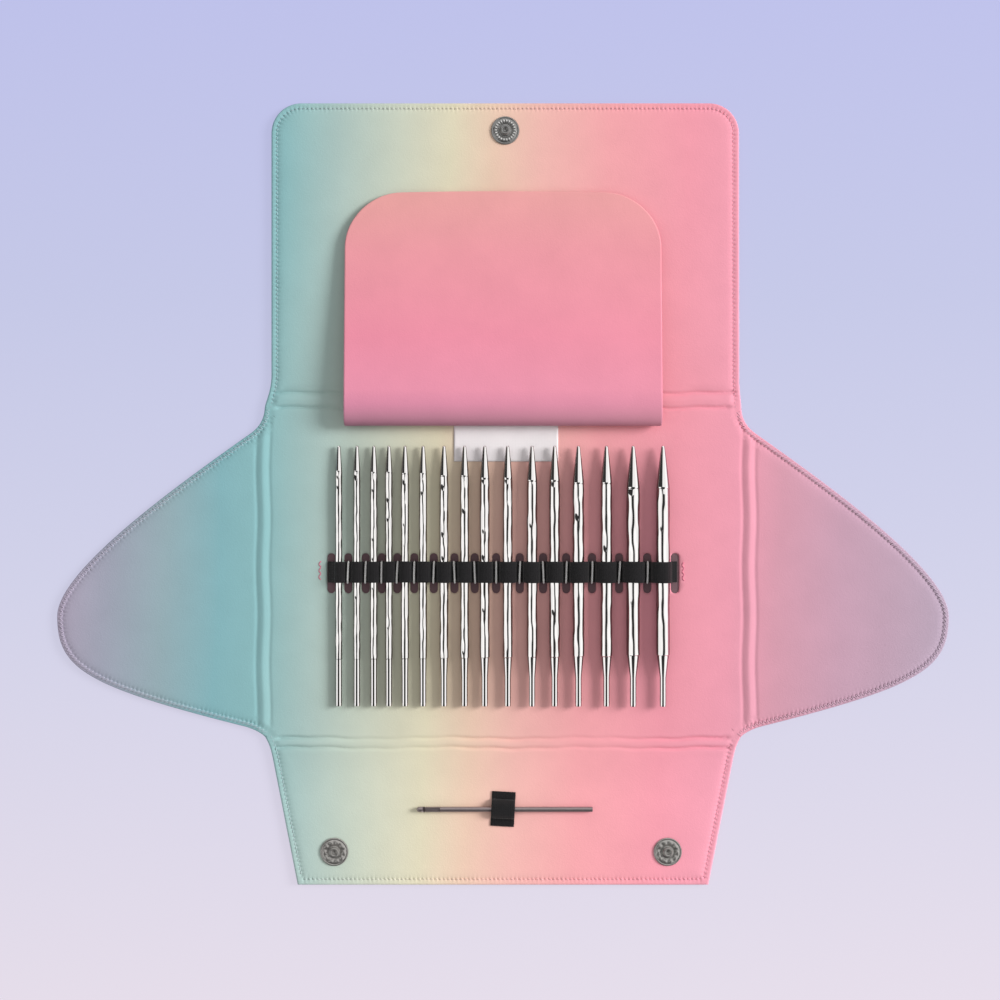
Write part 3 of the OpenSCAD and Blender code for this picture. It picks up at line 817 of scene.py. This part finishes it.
def ribbonMesh(line, width, thick, across=14, wander=0.25):
    # line in its side view; the ribbon runs from -width/2 to width/2 with rounded selvedges
    way = wayOf(line)
    normal = np.stack([-way[:, 1], way[:, 0]], 1)
    section = [(-0.5 + k / across, 1) for k in range(across + 1)]
    section += [(-0.5 + k / across, -1) for k in range(across, -1, -1)]
    verts = []
    for i, p in enumerate(line):
        shift = wander * noise.noise(Vector((p[0] * 0.09, 4.2, 0)))
        narrow = 1 - 0.02 * abs(noise.noise(Vector((p[0] * 0.15, 1.2, 0))))
        for u, side in section:
            flat = min(1.0, (0.5 - abs(u)) * across + 0.35)
            v = p + normal[i] * side * thick / 2 * flat
            verts.append((v[0], u * width * narrow + shift, v[1]))
    return np.array(verts), tubeFaces(len(line), len(section), True)


low = elastic["low"]
line = [(slotX[0] - 1.6, low)]
for d, a, b in zip(needleD, slotX, slotX[1:]):
    foot = min(elastic["foot"], (b - a) / 2 - d / 2 - elastic["needleGap"])
    height = needles["rest"] + d + elastic["slack"] + elastic["thick"] / 2 - low
    line += arch(a + foot, b - foot, low, height, elastic["power"], 27)
line = np.array(line + [(slotX[-1] + 1.0, low)])
v, f = ribbonMesh(line, elastic["width"], elastic["thick"] * 0.96)
band = makeObject("elastic band", v + (0, bandY + elastic["up"], 0), f, elasticBlack)
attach(band, "centre")
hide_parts("elastic_band")


def tackMesh(x, turn):
    # satin stitch: a bar of tight turns of thread, a little askew
    verts = []
    for k in range(tack["turns"] + 1):
        u = k / tack["turns"]
        along = (u - 0.5) * tack["length"]
        blunt = min(1, math.sqrt(max(0.0, 1 - (abs(u - 0.5) * 2) ** 14)))
        r = tack["radius"] * blunt * (0.93 + 0.07 * math.cos(k * 2.1))
        cx, cy = x - along * math.sin(turn), bandY + tack["up"] + along * math.cos(turn)
        lift = tack["lift"] - tack["droop"] * abs(2 * u - 1) ** 4
        verts += [(cx + r * c, cy, lift + 1.7 * r * s) for c, s in around(8)]
    return verts, tubeFaces(tack["turns"] + 1, 8, endCap=False)


# each slot draws its turn, but the end slots hold no tack: the band is sewn down beside them
turns = [random.uniform(-0.07, 0.05) for x in slotX]
tacks = joined([tackMesh(x, turn) for x, turn in zip(slotX[1:-1], turns[1:-1])])
tackObj = makeObject("bar tacks", *tacks, threadWhite)
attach(tackObj, "centre")
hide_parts("bar_tacks")

long, wide = slot["backLength"], slot["backWidth"]
grid, quads = flatGrid(np.linspace(-long / 2, long / 2, 91), bandY + np.linspace(-wide / 2, wide / 2, 13))
lift = slot["backLift"] + 0.04 * ripple(grid, 3, 2)
# its dark colour is painted shade in the slots
backing = makeObject("slot backing", np.c_[grid, lift], quads, slotShadeCloth)
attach(backing, "centre")

endRows = [resample([(slotX[0] - 5.0, bandY + 6.5), (slotX[0] - 5.2, bandY - 6.5)], 1),
           resample([(slotX[-1] + 4.6, bandY + 6.0), (slotX[-1] + 4.9, bandY - 5.5)], 1)]
endSeam = {"pitch": 3.2, "radius": 0.26, "lift": 3.02, "zigzag": 1.3}
endStitch = stitches("band end stitching", endRows, threadRose, **endSeam)
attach(endStitch, "centre")
print("elastic made")


# needles: turned point, pressed square body with a hammered face, turned shank

def pressedRadius(d, s, t, presses):
    # nearly square with a ridge up; short presses on alternate sides make the ridges wander
    power = 1.86
    r = d / 2 / (abs(math.cos(t)) ** power + abs(math.sin(t)) ** power) ** (1 / power)
    for face, depths in enumerate(presses):
        middle = (face + 0.5) * math.pi / 4
        off = math.atan2(math.sin(t - middle), math.cos(t - middle))
        if abs(off) > 1.0:
            continue
        place = s / (d * needles["press"]) + 0.37 * (face % 3) + 0.5 * (face % 2) + 0.35 * off
        cell, part = math.floor(place), place - math.floor(place)
        before, after = depths[cell % len(depths)], depths[(cell + 1) % len(depths)]
        ramped = min(1.0, part / 0.6)
        depth = before + (after - before) * ramped * ramped * (3 - 2 * ramped)
        r -= d / 2 * needles["dent"] * depth * math.exp(-(off / 0.36) ** 2)
    return r


def needleMesh(i):
    d, tip, length, shank = needleD[i], needles["pointRadius"], needles["length"], needles["shank"] / 2
    thicker = d - needles["sizes"][0]
    taperEnd = needles["pointLength"] + needles["longerPoint"] * thicker
    bodyEnd = length - needles["neckFrom"] - needles["longerNeck"] * thicker
    shankFrom = length - needles["shankLength"]
    dice = random.Random(40 + i)
    presses = [[dice.random() ** 1.6 for cell in range(needles["cells"])] for face in range(8)]
    stations = [0, 0.03, 0.12, 0.25, 0.45, 0.65, *np.linspace(1.0, taperEnd - 0.02, 24), taperEnd + 0.02,
                *np.linspace(taperEnd + 0.35, bodyEnd - 0.35, 190), bodyEnd - 0.02, bodyEnd + 0.02,
                *np.linspace(bodyEnd + 0.5, shankFrom, 12), *np.linspace(shankFrom + 1, length - 0.3, 8),
                length]
    ring = 40
    rings = []  # place along the needle, and the radius at each step round it
    for s in stations:
        if s < tip:
            radii = [math.sqrt(max(0, tip ** 2 - (tip - s) ** 2))] * ring
        elif s < taperEnd:
            radii = [tip + (d * 0.475 - tip) * ((s - tip) / (taperEnd - tip)) ** 0.88] * ring
        elif s <= bodyEnd:
            ease = 0.96 + 0.04 * max(0, min(1, (s - taperEnd) / 3, (bodyEnd - s) / 0.4))
            radii = [pressedRadius(d, s, 2 * math.pi * a / ring, presses) * ease for a in range(ring)]
        elif s < shankFrom:
            radii = [d * 0.43 + (shank - d * 0.43) * (s - bodyEnd) / (shankFrom - bodyEnd)] * ring
        else:
            radii = [shank - (0.3 if s == length else 0)] * ring
        rings.append((s, radii))
    # the socket for the cord: a dark hole in the shank's end
    rings += [(length, [needles["socket"]] * ring),
              (length - needles["socketDepth"], [needles["socket"] - 0.05] * ring)]
    verts = [(needleX[i] + r * c, needles["tipY"] - s, needles["rest"] + d / 2 + r * sn)
             for s, radii in rings for r, (c, sn) in zip(radii, around(ring))]
    return np.array(verts), tubeFaces(len(rings), ring)


names = [f"needle_{str(size).replace('.', '_')}_{pair}" for size in needles["sizes"] for pair in "ab"]
for i, n in enumerate(names):
    v, f = needleMesh(i)
    off, height = v[:, 0] - needleX[i], v[:, 2] - needles["rest"] - needleD[i] / 2
    sideways = np.abs(off) / np.maximum(np.hypot(off, height), 1e-9)
    # painted shade: each needle's sides and underside are marked for the darker colour
    paintedSideShade = np.maximum(smooth(0.62, 0.88, sideways), height < 0)
    o = makeObject(n.replace("_", " ") + " tip", v, f, chrome, np.c_[100 * paintedSideShade, v[:, 1]])
    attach(o, n)
    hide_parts(n)
print("needles made")


# label, snaps, rod and its loop

tag = {"left": -24.5, "right": 27.5, "low": 16.2, "high": 34.5, "lift": 3.14, "thick": 0.25}
grid, quads = flatGrid(np.linspace(tag["left"], tag["right"], 53), np.linspace(tag["low"], tag["high"], 20))
lift = tag["lift"] + 0.05 * ripple(grid, 14, 5) + 0.1 * smooth(20, tag["low"], grid[:, 1])
label = makeObject("blank label", np.c_[grid, lift], quads, labelCloth)
thick = label.modifiers.new("label thickness", "SOLIDIFY")
thick.thickness, thick.offset = tag["thick"] * mm, 1
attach(label, "centre")
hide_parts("label")

snap = {
    "steps": 96, "band": (3.3, 5.9),  # the raised band that carries the beads
    "topAt": [(1.1, 181.0)], "bottomAt": [(-84.0, -178.2), (82.0, -178.2)],
    # radius and height, from the outer edge in
    "profile": [(7.0, 2.95), (7.05, 3.35), (6.85, 3.7), (6.5, 3.82), (6.25, 3.7), (6.1, 3.55), (5.9, 3.7),
                (5.6, 3.92), (5.2, 4.1), (4.8, 4.16), (4.4, 4.1), (4.0, 3.95), (3.6, 3.72), (3.3, 3.55),
                (2.9, 3.55), (2.6, 3.75), (2.4, 4.5), (2.3, 5.1), (2.0, 5.3), (1.6, 5.3), (1.3, 5.15),
                (1.1, 4.7), (0.95, 4.1), (0.2, 4.05)],
}


def snapMesh(centre, beads, depth):
    # turned disc with rounded beads round its raised band; on the top snap, fine ones in place of lettering
    steps, (inner, outer) = snap["steps"], snap["band"]
    verts = np.array([(r * c, r * s, z) for r, z in snap["profile"] for c, s in around(steps)])
    r, a = np.hypot(verts[:, 0], verts[:, 1]), np.arctan2(verts[:, 1], verts[:, 0])
    raised = np.sin(np.pi * np.clip((r - inner) / (outer - inner), 0, 1)) ** 2
    verts[:, 2] += depth * raised * np.cos(a * beads)
    return verts + (*centre, 0), tubeFaces(len(snap["profile"]), steps)


for name, body, places, beads, depth, material in (
        ("top_snap", "top_flap", snap["topAt"], 22, 0.2, shadedSnap),
        ("bottom_snaps", "bottom_flap", snap["bottomAt"], 10, 0.26, snapMetal)):
    o = makeObject(name, *joined([snapMesh(p, beads, depth) for p in places]), material)
    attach(o, body)
    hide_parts(name)

rodLoop = {"width": 11.8, "thick": 0.68, "foot": 8.6, "half": 4.6, "low": 3.42, "height": 3.2, "y": -156.8,
           "turn": math.radians(-3)}
foot, half, low = rodLoop["foot"], rodLoop["half"], rodLoop["low"]
line = [(-foot, low)] + arch(-half, half, low, rodLoop["height"], elastic["power"], 31) + [(foot, low)]
line = resample(line, 0.35)
v, f = ribbonMesh(line, rodLoop["width"], rodLoop["thick"], 14, 0.0)
c, s = math.cos(rodLoop["turn"]), math.sin(rodLoop["turn"])
# turned so that it crosses the rod
v = np.stack([v[:, 1] * c - v[:, 0] * s, v[:, 1] * s + v[:, 0] * c + rodLoop["y"], v[:, 2]], 1)
loop = makeObject("rod loop", v, f, elasticBlack)
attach(loop, "bottom_flap")
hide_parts("tool_loop")
print("trim made")

# CAD pieces that stay as they are
asBuilt = {
    foamBoard: ["centre_foam", "top_foam", "bottom_foam", "left_foam", "right_foam"],
    snapMetal: ["top_washer", "bottom_washers", "left_washer", "right_washer", "front_socket", "left_socket",
                "right_socket"],
    rodSteel: ["rod_tool"],
}
for material, nodes in asBuilt.items():
    for node in nodes:
        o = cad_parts[node]
        o.data.materials.clear()
        o.data.materials.append(material)


# studio

studio = {
    "camera": (-1.5, -3.0, 800.0), "view": 500.0,  # the view's width at the table
    "table": 1500, "tableTop": -0.3,
    "evenTable": 0.82,  # the share of its tone that is even; the rest takes the soft shadow
    "keyPlace": (5.2, 1.2, 2.9), "keySize": 2.6, "keyPower": 385,
    "evenLight": 0.52,  # on all that isn't a mirror
    # what a mirror sees: a dark strip overhead, and a dark wall at the upper left
    "stripLeft": (-0.52, -0.62), "stripRight": (0.38, 0.48),
    "wallRight": (-0.34, -0.18), "wallTop": (0.42, 0.5), "wallFrom": (0.06, 0.09),
    "overhead": (0.8, 0.45), "pale": (0.95, 1.15), "dark": 0.03,
}
cam = bpy.data.objects.new("camera", bpy.data.cameras.new("camera"))
scene.collection.objects.link(cam)
cam.location = [c * mm for c in studio["camera"]]
cam.data.sensor_width = 36
cam.data.lens = 36 * studio["camera"][2] / studio["view"]
cam.data.clip_start = 0.01
scene.camera = cam

# pale floor, lilac at the top of the picture and pinker at the bottom
m, tree, shader = newMaterial("pale lilac table")
coords = addNode(tree, "ShaderNodeTexCoord")
split = addNode(tree, "ShaderNodeSeparateXYZ", {0: coords.outputs["Object"]})
paint = ramp(tree, {0.0: "bfc2eb", 0.3: "c6c9e8", 0.6: "d3d3ea", 1.0: "e6deeb"},
             mapRange(tree, split.outputs[1], 0.25, -0.25))
plain = addNode(tree, "ShaderNodeEmission", {"Color": paint})
path = addNode(tree, "ShaderNodeLightPath")
lit = maths(tree, "MULTIPLY", path.outputs["Is Camera Ray"], studio["evenTable"])
mixed = addNode(tree, "ShaderNodeMixShader", {0: lit, 1: shader.outputs[0], 2: plain.outputs[0]})
tree.links.new(mixed.outputs[0], tree.nodes["Material Output"].inputs["Surface"])
setUp(tree, shader, {"Base Color": paint, "Roughness": 0.9, "Specular IOR Level": 0.1})
corners = [(x * studio["table"], y * studio["table"], studio["tableTop"])
           for x, y in ((-1, -1), (1, -1), (1, 1), (-1, 1))]
floor = makeObject("table", corners, [[0, 1, 2, 3]], m)

# low soft light from the right, for long soft shadows to the left
light = bpy.data.lights.new("key", "AREA")
light.shape, light.size, light.energy = "DISK", studio["keySize"], studio["keyPower"]
key = bpy.data.objects.new("key", light)
scene.collection.objects.link(key)
key.location = studio["keyPlace"]
key.rotation_euler = (-Vector(studio["keyPlace"])).to_track_quat("-Z", "Y").to_euler()
key.visible_glossy = False

world = bpy.data.worlds.new("studio")
scene.world = world
world.use_nodes = True
tree = world.node_tree
coords = addNode(tree, "ShaderNodeTexCoord")
x, y, z = addNode(tree, "ShaderNodeSeparateXYZ", {0: coords.outputs["Generated"]}).outputs[:]


def fade(value, name, to=(0.0, 1.0)):
    return mapRange(tree, value, *studio[name], to, "SMOOTHSTEP")


# the dark strip draws the dark line along a round needle, the dark wall the dark side of the turned points
strip = maths(tree, "MAXIMUM", fade(x, "stripLeft"), fade(x, "stripRight"))
wall = maths(tree, "MAXIMUM", fade(x, "wallRight"), fade(y, "wallTop"))
north = fade(y, "wallFrom")
south = maths(tree, "SUBTRACT", 1.0, north)
both = maths(tree, "ADD", maths(tree, "MULTIPLY", wall, north), maths(tree, "MULTIPLY", strip, south))
bright = maths(tree, "MAXIMUM", both, studio["dark"])
seen = maths(tree, "MULTIPLY", bright, fade(z, "overhead", studio["pale"]))
path = addNode(tree, "ShaderNodeLightPath")
shown = addNode(tree, "ShaderNodeMix", {
    "data_type": "FLOAT", 0: path.outputs["Is Glossy Ray"], 2: studio["evenLight"], 3: seen}).outputs[0]
setUp(tree, tree.nodes["Background"], {"Color": grey(tree, shown)})
scene.view_settings.view_transform = "Standard"
print("studio made")
